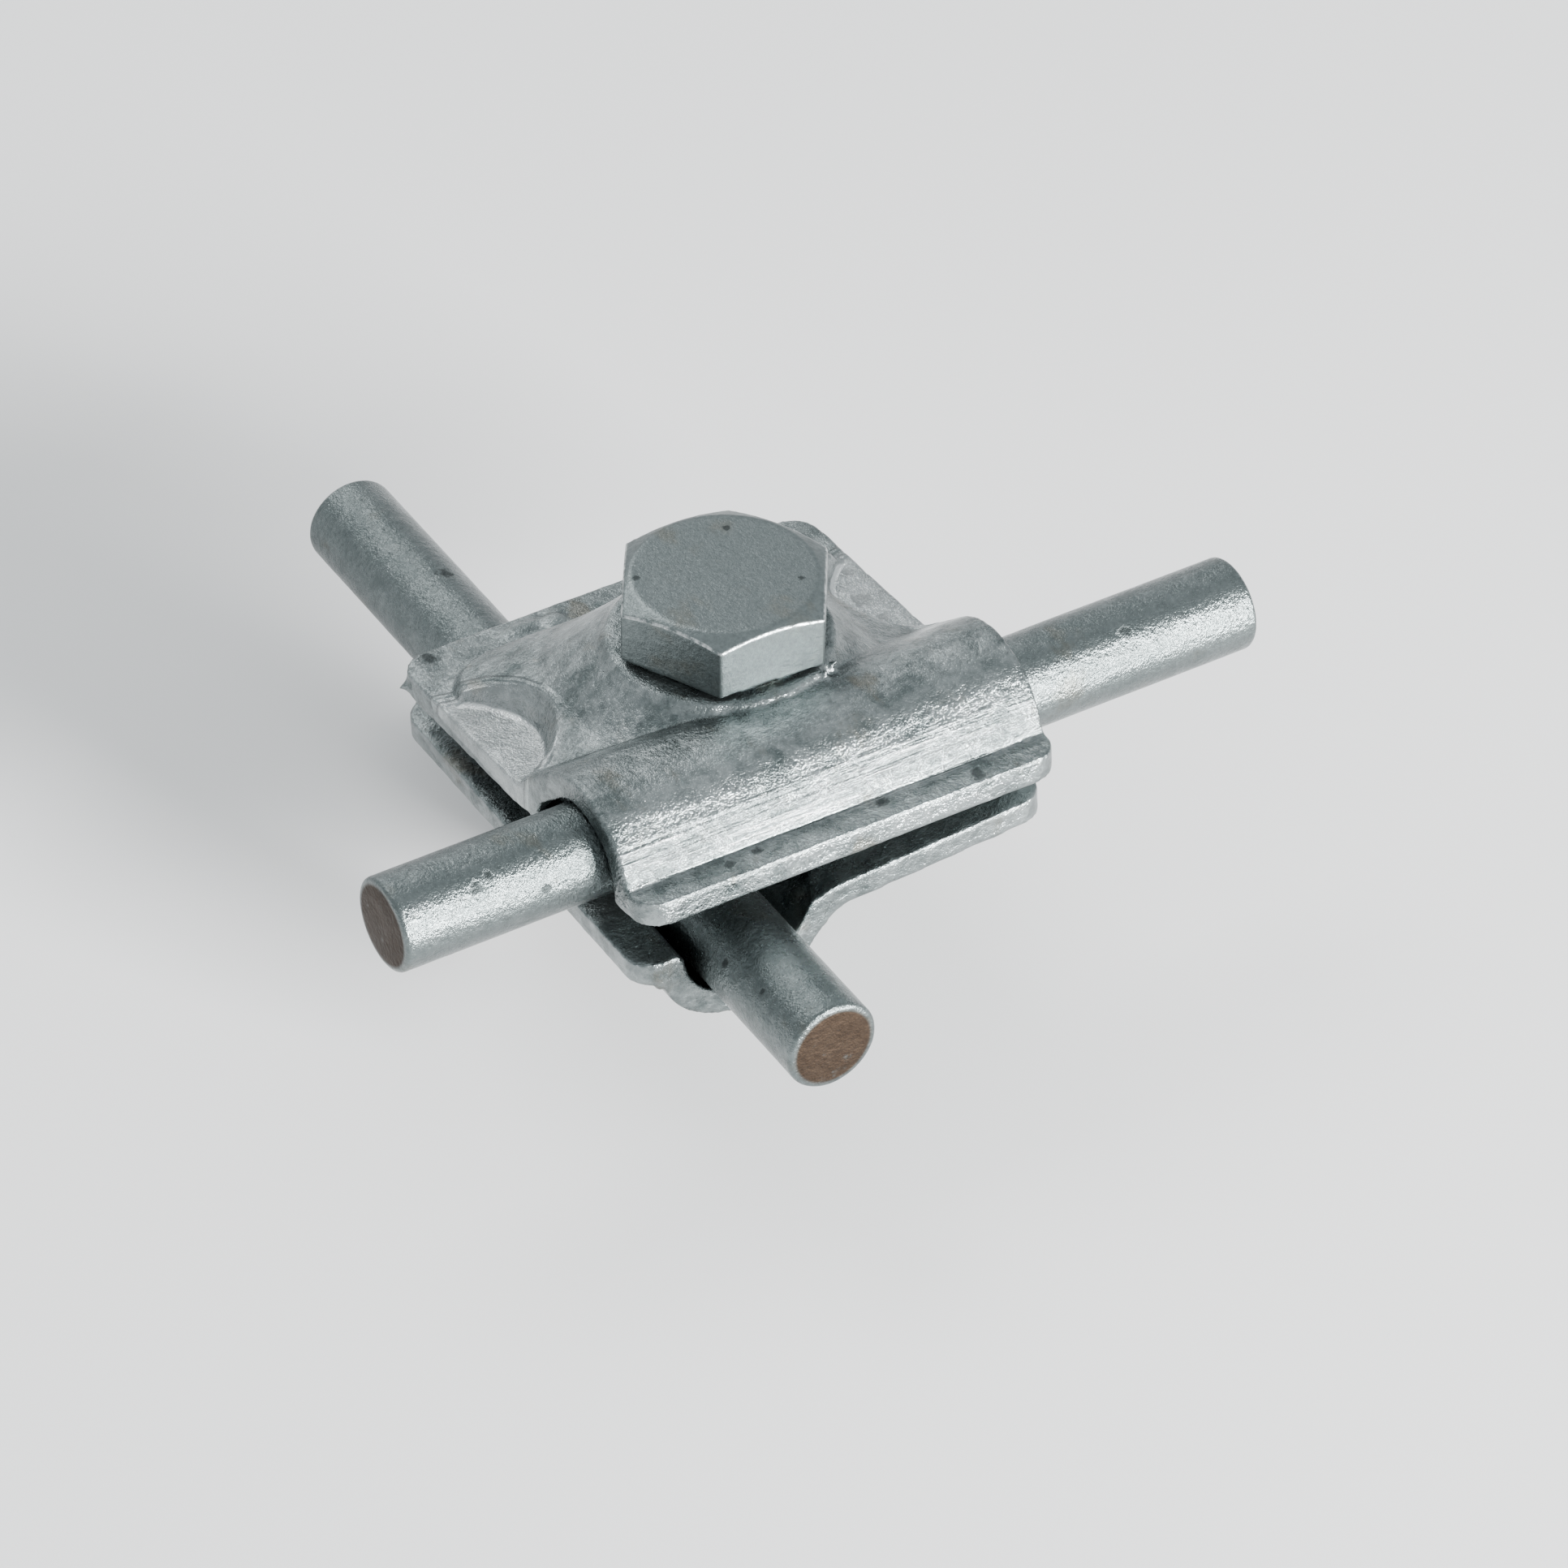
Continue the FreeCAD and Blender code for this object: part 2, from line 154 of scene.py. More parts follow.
class Bench:
    """A node tree and one way of adding a node to it."""

    def __init__(self, tree):
        self.tree = tree

    def node(self, kind, settings=None, values=None, output=0):
        """Add a node: its settings first, then the values or wires of its sockets."""
        made = self.tree.nodes.new(kind)
        for name, value in (settings or {}).items():
            setattr(made, name, value)
        for key, value in (values or {}).items():
            socket = made.inputs[key]
            if isinstance(value, Wire):
                self.tree.links.new(value.socket, socket)
            else:
                socket.default_value = value
        return Wire(self, made.outputs[output])

    def noise(self, place, scale, detail=2.0, roughness=0.5, stretch=None):
        """Soft random value near 0.5; the scale is in waves per millimetre."""
        if stretch:
            settings = {"operation": "MULTIPLY"}
            place = self.node("ShaderNodeVectorMath", settings, {0: place, 1: stretch})
        values = {"Vector": place, "Scale": scale, "Detail": detail, "Roughness": roughness}
        return self.node("ShaderNodeTexNoise", {"noise_dimensions": "3D"}, values)

    def blend(self, amount, first, second):
        """A colour between two colours."""
        settings = {"data_type": "RGBA", "blend_type": "MIX", "clamp_factor": True}
        values = {0: amount, 6: first, 7: second}
        return self.node("ShaderNodeMix", settings, values, output=2)

    def scaled(self, vector, amount):
        """A vector or a colour times a number."""
        values = {0: vector, "Scale": amount}
        return self.node("ShaderNodeVectorMath", {"operation": "SCALE"}, values)

    def parts_of(self, vector):
        """The three coordinates of a vector as wires."""
        split = self.node("ShaderNodeSeparateXYZ", None, {0: vector})
        return [Wire(self, socket) for socket in split.socket.node.outputs]


print("benches ready")

# %% [markdown]
# The camera was worked out from the photograph: the bars are 8 mm thick and cross at a
# right angle, which fixes where the lens stood. It is a long lens, so lines that are
# parallel on the clamp stay nearly parallel in the picture.

# %% Camera
CAMERA_PLACE = Vector((-259.28, -430.27, 412.55)) * MM
CAMERA_RIGHT = Vector((0.85473836, -0.5190024, 0.00767085))
CAMERA_UP = Vector((0.32688569, 0.54970588, 0.76874521))
CAMERA_BACK = CAMERA_RIGHT.cross(CAMERA_UP)
SENSOR_WIDTH = 36.0
FOCAL_LENGTH = 183.67
NEAREST_SEEN = 0.05
FARTHEST_SEEN = 5.0


def add_object(name, data):
    """A new object in the scene, at the origin."""
    made = bpy.data.objects.new(name, data)
    bpy.context.scene.collection.objects.link(made)
    return made


camera_data = bpy.data.cameras.new("photo_camera")
camera_data.sensor_width = SENSOR_WIDTH
camera_data.lens = FOCAL_LENGTH
camera_data.clip_start = NEAREST_SEEN
camera_data.clip_end = FARTHEST_SEEN
camera = add_object("photo_camera", camera_data)
camera_rows = zip(CAMERA_RIGHT, CAMERA_UP, CAMERA_BACK, CAMERA_PLACE)
camera.matrix_world = Matrix((*camera_rows, (0, 0, 0, 1)))
bpy.context.scene.camera = camera
print("camera stands", round(CAMERA_PLACE.length / MM), "mm from the clamp")

# %% [markdown]
# Zinc shows its form only by what it mirrors, so the studio matters as much as the
# metal: a pale floor in an even pale room, a strong small softbox low in front on the
# right that the ridge mirrors, and a large weak one behind and above for the flats.

# %% Floor and lights
FLOOR_GREY = (0.76, 0.76, 0.76, 1.0)
FLOOR_ROUGHNESS = 0.75
FLOOR_HALF = 3.0
FLOOR_DROP = 0.4
ROOM_COLOUR = (0.92, 0.97, 1.0, 1.0)
ROOM_STRENGTH = 0.95
# Each softbox: its name, place and size in millimetres, and power in watts.
SOFTBOXES = (
    ("ridge_softbox", (330, -850, 215), (300, 150), 54.0),
    ("back_softbox", (-60, 800, 860), (640, 460), 6.0),
)


def floor_sheet(height, half):
    """A square sheet of matt grey paper under the clamp; sizes in metres."""
    paper = bpy.data.materials.new("studio_floor")
    paper.use_nodes = True
    shader = paper.node_tree.nodes["Principled BSDF"]
    shader.inputs["Base Color"].default_value = FLOOR_GREY
    shader.inputs["Roughness"].default_value = FLOOR_ROUGHNESS
    mesh = bpy.data.meshes.new("floor")
    turns = ((-1, -1), (1, -1), (1, 1), (-1, 1))
    corners = [(x * half, y * half, height) for x, y in turns]
    mesh.from_pydata(corners, [], [(0, 1, 2, 3)])
    mesh.materials.append(paper)
    floor = add_object("floor", mesh)


def soft_light(name, place, size, power):
    """A rectangular softbox, aimed at the clamp; place and size in millimetres."""
    data = bpy.data.lights.new(name, "AREA")
    data.shape = "RECTANGLE"
    data.size = size[0] * MM
    data.size_y = size[1] * MM
    data.energy = power
    light = add_object(name, data)
    light.location = Vector(place) * MM
    light.rotation_mode = "QUATERNION"
    light.rotation_quaternion = (-light.location).to_track_quat("-Z", "Y")


floor_height = cad_box[0].z - FLOOR_DROP * MM
floor_sheet(floor_height, FLOOR_HALF)
for softbox in SOFTBOXES:
    soft_light(*softbox)
world = bpy.data.worlds.new("pale_room")
world.use_nodes = True
room = world.node_tree.nodes["Background"]
room.inputs["Color"].default_value = ROOM_COLOUR
room.inputs["Strength"].default_value = ROOM_STRENGTH
bpy.context.scene.world = world
print("floor at", round(floor_height / MM, 2), "mm")

# %% [markdown]
# Hot-dip zinc freezes into crystals a few millimetres wide, each with its own grey, and
# then dulls unevenly. Noise of several sizes stands for what happened to it: wide
# clouds, drawn-out smears, a fine skin and grit. Each is in waves per millimetre.

# %% Grains of the zinc
# Waves per millimetre, detail, roughness and, where there is one, the stretch. A step
# is where a noise starts to count and where it counts in full.
CLOUD = (0.13, 5.0, 0.62)
SMEAR = (0.6, 4.0, 0.62, (1.0, 1.4, 1.6))
FINE = (2.6, 3.0, 0.7)
GRIT = (6.0, 2.0, 0.7)
STAIN = (0.2, 4.0, 0.6, (1.3, 0.8, 1.0))
PITS = (1.7, 2.0, 0.6)
RAGGED = (1.1, 5.0, 0.8)
CLOUD_STEP = (0.38, 0.64)
SMEAR_STEP = (0.36, 0.64)
STAIN_STEP = (0.57, 0.72)
MARK_STEP = (1.1, 0.5)
RAGGED_REACH = 3.6


def millimetres(bench):
    """The place on the object, in millimetres."""
    return bench.scaled(bench.node("ShaderNodeTexCoord", output=3), 1 / MM)


def spots(bench, place, marks):
    """1 inside any of the marks, each a place and a radius, with ragged edges."""
    ragged = bench.noise(place, *RAGGED) * RAGGED_REACH - RAGGED_REACH / 2
    found = None
    for centre, radius in marks:
        values = {0: place, 1: centre}
        away = bench.node("ShaderNodeVectorMath", {"operation": "DISTANCE"}, values, output=1)
        inside = (away / radius + ragged).step(*MARK_STEP)
        found = inside if found is None else found.greatest(inside)
    return found


print("grains of zinc, waves per mm:", [grain[0] for grain in (CLOUD, SMEAR, FINE, GRIT)])

# %% [markdown]
# The colour is blue-green grey with faint brown stains and dark pits. One recipe makes
# the zinc of plates, bars and bolt, with different numbers, so that they look as if
# they came out of like baths.

# %% Zinc recipe
# Shares of each grain in the tone, which runs from dark to light.
CLOUD_SHARE = 0.38
SMEAR_SHARE = 0.38
CRYSTAL_SHARE = 0.24
# How much of the colour stains and pits take, and how soft the edge of a pit is.
STAIN_SHARE = 0.55
PIT_SHARE = 0.85
PIT_EDGE = 0.05
PIT_COLOUR = (0.03, 0.036, 0.036, 1.0)
# Bare metal where worn; the same colour is also painted light and a painted highlight at the
# recesses.
BARE_AND_LIT_COLOUR = (0.62, 0.65, 0.65, 1.0)
# What the fine grain does to the brightness: least, and how much more at most.
SHADE_LEAST = 0.55
SHADE_MORE = 0.9
# What is added to the roughness where the zinc is dark, gritty or pitted.
DARK_ROUGH = 0.12
GRIT_ROUGH = 0.08
PIT_ROUGH = 0.2
# Heights in the bump, as shares of its distance, which is in metres.
FINE_HEIGHT = 1.1
GRIT_HEIGHT = 0.6
SMEAR_HEIGHT = 1.3
PIT_DEPTH = 0.8
BUMP_DISTANCE = 0.0003


def zinc(name, light, dark, stain, gloss, crystal, pits, grain, metal, marks, relief=None):
    """A zinc-coated steel finish; returns the material, its bench, place and shader.

    light, dark and stain are colours. gloss is the least roughness, crystal the crystals
    per millimetre, pits how common dark pits are, grain the strength of the bump, and
    metal the share of metal. marks are dark burnt places. relief, from the bench and the
    place, makes more height and a share of bare colour: bare metal where worn, and painted
    light and a painted highlight at the plate's recesses.
    """
    material = bpy.data.materials.new(name)
    material.use_nodes = True
    tree = material.node_tree
    bench = Bench(tree)
    place = millimetres(bench)
    lift, wear_and_painted_light = relief(bench, place) if relief else (0.0, 0.0)
    cloud = bench.noise(place, *CLOUD)
    smear = bench.noise(place, *SMEAR)
    values = {"Vector": place, "Scale": crystal}
    cell = bench.node("ShaderNodeTexVoronoi", {"feature": "F1"}, values, output=1)
    cell_grey = bench.parts_of(cell)[0]
    fine = bench.noise(place, *FINE)
    grit = bench.noise(place, *GRIT)
    tone = cloud.step(*CLOUD_STEP) * CLOUD_SHARE + smear.step(*SMEAR_STEP) * SMEAR_SHARE
    tone = tone + cell_grey * CRYSTAL_SHARE
    colour = bench.blend(tone, (*dark, 1.0), (*light, 1.0))
    stained = bench.noise(place, *STAIN).step(*STAIN_STEP)
    colour = bench.blend(stained * STAIN_SHARE, colour, (*stain, 1.0))
    speck = bench.noise(place, *PITS).step(1 - pits, 1 - pits + PIT_EDGE)
    speck = speck.greatest(spots(bench, place, marks))
    colour = bench.blend(speck * PIT_SHARE, colour, PIT_COLOUR)
    colour = bench.scaled(colour, SHADE_LEAST + fine * SHADE_MORE)
    # Bare metal where worn, and painted light and a painted highlight at the plate's recesses.
    colour = bench.blend(wear_and_painted_light, colour, BARE_AND_LIT_COLOUR)
    rough = gloss + (1 - tone) * DARK_ROUGH + grit * GRIT_ROUGH + speck * PIT_ROUGH
    height = fine * FINE_HEIGHT + grit * GRIT_HEIGHT + smear * SMEAR_HEIGHT
    height = height - speck * PIT_DEPTH + lift
    values = {"Strength": grain, "Distance": BUMP_DISTANCE, "Height": height}
    bump = bench.node("ShaderNodeBump", None, values)
    shader = tree.nodes["Principled BSDF"]
    tree.links.new(colour.socket, shader.inputs["Base Color"])
    tree.links.new(rough.socket, shader.inputs["Roughness"])
    tree.links.new(bump.socket, shader.inputs["Normal"])
    shader.inputs["Metallic"].default_value = metal
    return material, bench, place, shader


print("zinc recipe ready")

# %% [markdown]
# The press squeezed a bead of zinc and sheet round each half-moon recess of the upper
# plate and drew fine lines along the foot of the ridge. These are too shallow to model,
# so they are height in the bump and brightness in the colour. The recess and its wall
# get painted light, and the bead at its upper-left gets a painted highlight.

# %% Marks of the press
# Places in millimetres. Each step is where a mark is gone and where it is full.
RECESS_PLACE = (21.6, 4.7)
RECESS_WAVES = 0.25
RECESS_WOBBLE = 0.6
UPPER_DRIFT = 0.4
UPPER_PLATE_FROM = (1.6, 2.0)
RECESS_FROM = (-3.5, -2.5)
INNER_BEAD = ((7.0, 7.35), (7.9, 7.55))
OUTER_BEAD = ((8.2, 8.5), (9.0, 8.7))
OUTER_BEAD_FROM = (2.5, 5.0)
# Where the painted light in the recess is gone and full, and where the painted highlight lies.
RECESS_PAINTED_LIGHT = (8.8, 7.0)
PAINTED_HIGHLIGHT_RING = ((6.5, 6.75), (7.25, 7.0))
PAINTED_HIGHLIGHT_ARC = ((5.6, 7.0), (11.2, 10.4))
RIDGE_FOOT = ((-15.8, -17.0), (-19.0, -18.2))
DRAWN_LINES = (1.0, 3.0, 0.6, (0.05, 2.2, 2.2))
DRAWN_STEP = (0.56, 0.68)
PAINTED_LIGHT_PATCHES = (0.5, 4.0, 0.7)
# How bright the painted light, the painted highlight and the bare lines are, and how
# high the marks stand in the bump.
PAINTED_LIGHT_LEAST = 0.12
PAINTED_LIGHT_MORE = 0.5
PAINTED_HIGHLIGHT_SHARE = 1.4
DRAWN_BARE = 0.5
BEAD_HEIGHT = 1.3
DRAWN_HEIGHT = 3.0


def pressed_marks(bench, place):
    """Beads, painted light and a painted highlight at the recesses, lines by the ridge's foot:
    height, bareness and painted light.
    """
    x, y, z = bench.parts_of(place)
    on_upper = z.step(*UPPER_PLATE_FROM)
    across = (x + UPPER_DRIFT).size() - RECESS_PLACE[0]
    reach = (across ** 2 + (y - RECESS_PLACE[1]) ** 2) ** 0.5
    reach = reach + bench.noise(place, RECESS_WAVES) * RECESS_WOBBLE - RECESS_WOBBLE / 2
    by_recess = on_upper * y.step(*RECESS_FROM)
    outer = reach.band(*OUTER_BEAD) * y.step(*OUTER_BEAD_FROM)
    beads = (reach.band(*INNER_BEAD) + outer) * by_recess
    foot = y.band(*RIDGE_FOOT) * on_upper
    lines = bench.noise(place, *DRAWN_LINES)
    # Painted light: the recess and its wall are made pale.
    light_patches = PAINTED_LIGHT_LEAST + bench.noise(place, *PAINTED_LIGHT_PATCHES) * PAINTED_LIGHT_MORE
    painted_light = reach.step(*RECESS_PAINTED_LIGHT) * light_patches
    # Painted highlight: a short bright line on the bead at the recess's upper-left.
    painted_highlight = reach.band(*PAINTED_HIGHLIGHT_RING) * y.band(*PAINTED_HIGHLIGHT_ARC)
    wear_and_painted_light = painted_light.greatest(painted_highlight * PAINTED_HIGHLIGHT_SHARE) * by_recess
    wear_and_painted_light = wear_and_painted_light + foot * lines.step(*DRAWN_STEP) * DRAWN_BARE
    return beads * BEAD_HEIGHT + foot * lines * DRAWN_HEIGHT, wear_and_painted_light


print("recess centres at x", [round(side * RECESS_PLACE[0] - UPPER_DRIFT, 1) for side in (-1, 1)])

# %% [markdown]
# On the bolt's head the spanner has rubbed the lower edge of the turned chamfer bright.
# The head is a hexagon cut by a cone, so the edge is where both are near: the sides'
# distance from the axis and the cone's height are worked out from the place alone.

# %% Worn edge of the head
HEAD_TURN = -2.73
HEAD_TOP = 16.55
HEAD_FLAT = 7.6
HEAD_FACET = 8.15
HEAD_CHAMFER = 26.0
FACET_TURNS = [math.radians(HEAD_TURN + turn) for turn in (30, 90, 150)]
# How far inside the sides and below the chamfer the wear starts and is full.
SIDE_WEAR = (0.2, 0.1)
CHAMFER_WEAR = (0.22, 0.12)
WEAR_PATCHES = (1.0, 5.0, 0.8)
WEAR_STEP = (0.40, 0.62)
WEAR_BARE = 0.8


def worn_edges(bench, place):
    """The lower edge of the forged head's chamfer, worn bright: no height, bareness."""
    x, y, z = bench.parts_of(place)
    facet = None
    for turn in FACET_TURNS:
        across = (x * math.cos(turn) + y * math.sin(turn)).size()
        facet = across if facet is None else facet.greatest(across)
    radius = (x ** 2 + y ** 2) ** 0.5
    cone = HEAD_TOP - (radius - HEAD_FLAT) * math.tan(math.radians(HEAD_CHAMFER))
    near = facet.step(HEAD_FACET - SIDE_WEAR[0], HEAD_FACET - SIDE_WEAR[1])
    near = near * z.step(cone - CHAMFER_WEAR[0], cone - CHAMFER_WEAR[1])
    worn = bench.noise(place, *WEAR_PATCHES).step(*WEAR_STEP)
    return 0.0, near * worn * WEAR_BARE


print("head:", 2 * HEAD_FACET, "mm across its sides")

# %% [markdown]
# The three finishes: the plates are the palest and glossiest, the bars are duller, and
# the bolt, which is cleaned of spare zinc, is the most even. The dark marks sit where the
# photograph shows them, each a place and a radius in millimetres.

# %% Three zinc finishes
PLATE_MARKS = (
    ((-17.3, 17.85, 2.5), 0.8), ((16.4, 5.6, 3.3), 0.9), ((16.8, 2.5, 3.5), 0.6),
    ((17.6, 9.6, 3.0), 0.6), ((-12.3, -4.0, 8.6), 0.7), ((-11.2, -19.5, 4.9), 0.5),
    ((-8.4, -19.0, 4.9), 0.45), ((3.2, -19.0, 4.9), 0.6), ((11.5, -20.0, 4.9), 0.7))
BOLT_MARKS = (((-6.4, 3.1, 16.5), 0.4), ((3.1, 5.0, 16.5), 0.35), ((5.0, -3.6, 16.5), 0.3))
BAR_MARKS = (
    ((-30.9, -13.7, 6.9), 0.75), ((-29.5, -13.2, 7.2), 0.5), ((-25.0, -14.6, 5.0), 0.5),
    ((-13.4, -22.5, -2.0), 0.4), ((-12.9, -27.5, -1.4), 0.35), ((-9.0, 30.0, 0.0), 0.8),
    ((30.0, -13.0, 7.3), 0.6))
sheet_zinc, *_ = zinc(
    "sheet_zinc", light=(0.29, 0.322, 0.322), dark=(0.074, 0.092, 0.092),
    stain=(0.135, 0.123, 0.095), gloss=0.14, crystal=0.5, pits=0.26, grain=0.42,
    metal=0.97, marks=PLATE_MARKS, relief=pressed_marks)
bolt_zinc, *_ = zinc(
    "bolt_zinc", light=(0.15, 0.174, 0.174), dark=(0.12, 0.141, 0.141),
    stain=(0.13, 0.13, 0.11), gloss=0.24, crystal=0.9, pits=0.2, grain=0.16,
    metal=0.95, marks=BOLT_MARKS, relief=worn_edges)
bar_zinc, bar_bench, bar_place, bar_shader = zinc(
    "bar_zinc", light=(0.152, 0.175, 0.175), dark=(0.096, 0.115, 0.115),
    stain=(0.108, 0.108, 0.09), gloss=0.17, crystal=0.8, pits=0.26, grain=0.36,
    metal=0.96, marks=BAR_MARKS)
print("finishes:", [finish.name for finish in (sheet_zinc, bolt_zinc, bar_zinc)])

# %% [markdown]
# The bars were sawn to length after galvanising, so their ends are bare steel that has
# gone brown, with a bright rim where the zinc was dragged over the edge. The brown is
# painted by how far along its bar a point lies.

# %% Brown cut ends
BAR_NODES = ("upper_conductor", "lower_conductor")
BAR_RADIUS = 4.0
SAWN_DEPTH = 0.32
SAWN_FADE = 0.2
# How far inside the bar's radius the brown is gone and full: what is left is the rim.
INSIDE_RIM = (0.25, 0.75)
RUST_PATCHES = (0.5, 4.0, 0.65)
RUST_STEP = (0.1, 0.38)
RUST_ROUGH = 0.3
BROWN_GRAIN = (1.1, 4.0, 0.7)
BROWN_DARK = (0.014, 0.009, 0.006, 1.0)
BROWN_LIGHT = (0.05, 0.034, 0.023, 1.0)


def near_end(along, across, height, node, axis):
    """1 on the sawn end faces of one bar, 0 elsewhere."""
    low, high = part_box(node)
    reach = (low[axis] / MM + SAWN_DEPTH, high[axis] / MM - SAWN_DEPTH)
    centre = ((low[1 - axis] + high[1 - axis]) / 2 / MM, (low.z + high.z) / 2 / MM)
    radius = ((across - centre[0]) ** 2 + (height - centre[1]) ** 2) ** 0.5
    disc = radius.step(BAR_RADIUS - INSIDE_RIM[0], BAR_RADIUS - INSIDE_RIM[1])
    low_face = along.step(reach[0], reach[0] - SAWN_FADE)
    return (low_face + along.step(reach[1], reach[1] + SAWN_FADE)) * disc


x, y, z = bar_bench.parts_of(bar_place)
sawn = near_end(x, y, z, BAR_NODES[0], 0).greatest(near_end(y, x, z, BAR_NODES[1], 1))
covered = bar_bench.noise(bar_place, *RUST_PATCHES).step(*RUST_STEP)
rust = sawn.sum("MULTIPLY", sawn, covered, clamp=True)
brown = bar_bench.blend(bar_bench.noise(bar_place, *BROWN_GRAIN), BROWN_DARK, BROWN_LIGHT)
bar_colour = bar_shader.inputs["Base Color"]
bar_rough = bar_shader.inputs["Roughness"]
zinc_colour = Wire(bar_bench, bar_colour.links[0].from_socket)
zinc_rough = Wire(bar_bench, bar_rough.links[0].from_socket)
bar_bench.tree.links.new(bar_bench.blend(rust, zinc_colour, brown).socket, bar_colour)
bar_bench.tree.links.new((zinc_rough + rust * RUST_ROUGH).socket, bar_rough)
print("bar ends are brown")

# %% [markdown]
# Geometry Nodes need a tree with named inputs and a fixed ending: Realize Instances and
# Set Material. Opening and closing such a tree is the same each time, so it is written
# once. A modifier's inputs are set by their identifiers, before it is first evaluated.

# %% Opening and closing a Geometry Nodes tree


def open_tree(name, sizes, takes_mesh):
    """A tree with named inputs; returns its bench and the inputs as wires."""
    tree = bpy.data.node_groups.new(name, "GeometryNodeTree")
    sockets = tree.interface
    if takes_mesh:
        sockets.new_socket("Mesh", in_out="INPUT", socket_type="NodeSocketGeometry")
    for size in sizes:
        sockets.new_socket(size, in_out="INPUT", socket_type="NodeSocketFloat")
    sockets.new_socket("Material", in_out="INPUT", socket_type="NodeSocketMaterial")
    sockets.new_socket("Mesh", in_out="OUTPUT", socket_type="NodeSocketGeometry")
    bench = Bench(tree)
    entry = tree.nodes.new("NodeGroupInput")
    return bench, {socket.name: Wire(bench, socket) for socket in entry.outputs if socket.name}


def close_tree(bench, mesh, material):
    """End a tree in a real mesh that has its material; returns the tree."""
    real = bench.node("GeometryNodeRealizeInstances", None, {"Geometry": mesh})
    values = {"Geometry": real, "Material": material}
    done = bench.node("GeometryNodeSetMaterial", None, values)
    leave = bench.tree.nodes.new("NodeGroupOutput")
    bench.tree.links.new(done.socket, leave.inputs[0])
    return bench.tree


def add_tree(obj, tree, values):
    """Put a tree on an object as a modifier, with its inputs by their names."""
    modifier = obj.modifiers.new(tree.name, "NODES")
    modifier.node_group = tree
    for item in tree.interface.items_tree:
        if item.in_out == "INPUT" and item.name in values:
            modifier[item.identifier] = values[item.name]


print("trees can be opened and closed")

# %% [markdown]
# Molten zinc rounds every edge and leaves a faintly wavy skin. This tree lifts a mesh
# along its normals by soft noise of two sizes, waves and grain, and sets its material.

# %% Zinc skin by Geometry Nodes
SKIN_SIZES = ("Wave height", "Wave size", "Grain height", "Grain size")


def zinc_skin_tree():
    """A tree that waves a mesh along its normals and sets its material."""
    bench, given = open_tree("zinc_skin", SKIN_SIZES, takes_mesh=True)
    place = bench.node("GeometryNodeInputPosition")
    normal = bench.node("GeometryNodeInputNormal")

    def swell(height, size):
        values = {"Vector": place, "Scale": 1 / size, "Detail": 2.0}
        return (bench.node("ShaderNodeTexNoise", None, values) - 0.5) * height

    waves = swell(given["Wave height"], given["Wave size"])
    lift = waves + swell(given["Grain height"], given["Grain size"])
    values = {"Geometry": given["Mesh"], "Offset": bench.scaled(normal, lift)}
    moved = bench.node("GeometryNodeSetPosition", None, values)
    return close_tree(bench, moved, given["Material"])


SKIN = zinc_skin_tree()
print("skin takes", SKIN_SIZES)

# %% [markdown]
# Each piece starts as a copy of its CAD node, or as a mesh of its own, in millimetres.
# A voxel remesh turns a copy into small even squares, so that smoothing rounds all its
# edges alike. Where drops overlap, a remesh can leave a tiny closed hollow: it goes.

# %% From CAD node to even mesh
MERGE_REACH = 0.002


@contextmanager
def opened(mesh):
    """Open a mesh for changes and put them back into it."""
    build = bmesh.new()
    build.from_mesh(mesh)
    yield build
    build.to_mesh(mesh)
    build.free()


def settle(obj):
    """Turn an object with modifiers into a plain mesh, smooth-shaded."""
    bpy.context.view_layer.update()
    depsgraph = bpy.context.evaluated_depsgraph_get()
    mesh = bpy.data.meshes.new_from_object(obj.evaluated_get(depsgraph))
    obj.modifiers.clear()
    obj.data = mesh
    for polygon in mesh.polygons:
        polygon.use_smooth = True


def merged_copy(node, name):
    """A CAD node's mesh as a new object in millimetres, its loose triangles joined."""
    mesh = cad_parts[node].data.copy()
    mesh.materials.clear()
    mesh.transform(Matrix.Scale(1 / MM, 4))
    with opened(mesh) as build:
        bmesh.ops.remove_doubles(build, verts=build.verts, dist=MERGE_REACH)
    return add_object(name, mesh)


def drop_crumbs(obj):
    """Keep the largest shell of a mesh."""
    with opened(obj.data) as build:
        waiting = set(build.verts)
        shells = []
        while waiting:
            shell = [waiting.pop()]
            for vertex in shell:
                near = [edge.other_vert(vertex) for edge in vertex.link_edges]
                fresh = [other for other in near if other in waiting]
                waiting.difference_update(fresh)
                shell.extend(fresh)
            shells.append(shell)
        shells.sort(key=len)
        for crumb in shells[:-1]:
            bmesh.ops.delete(build, geom=crumb, context="VERTS")
    print(obj.name, "had", len(shells) - 1, "crumbs")


def even_mesh(obj, voxel):
    """Rebuild an object's surface from small even squares."""
    remesh = obj.modifiers.new("even", "REMESH")
    remesh.mode = "VOXEL"
    remesh.voxel_size = voxel
    remesh.use_smooth_shade = True
    settle(obj)
    drop_crumbs(obj)


print("copies are merged within", MERGE_REACH, "mm")

# %% [markdown]
# Coating a piece is the last step for all but the shank: round the edges, wave the skin,
# go back to metres, put it on the body that carries it and hide the CAD node it stands for.

# %% Coating


def coat(obj, smoothing, waves, material, body, nodes):
    """Give an even mesh its zinc: round edges, wavy skin, material and body."""
    if smoothing:
        smooth = obj.modifiers.new("round", "SMOOTH")
        smooth.factor = 0.5
        smooth.iterations = smoothing
    add_tree(obj, SKIN, {**dict(zip(SKIN_SIZES, waves)), "Material": material})
    settle(obj)
    obj.data.transform(Matrix.Scale(MM, 4))
    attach(obj, body)
    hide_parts(*nodes)
    print(obj.name, len(obj.data.polygons), "faces")


print("coating ready")

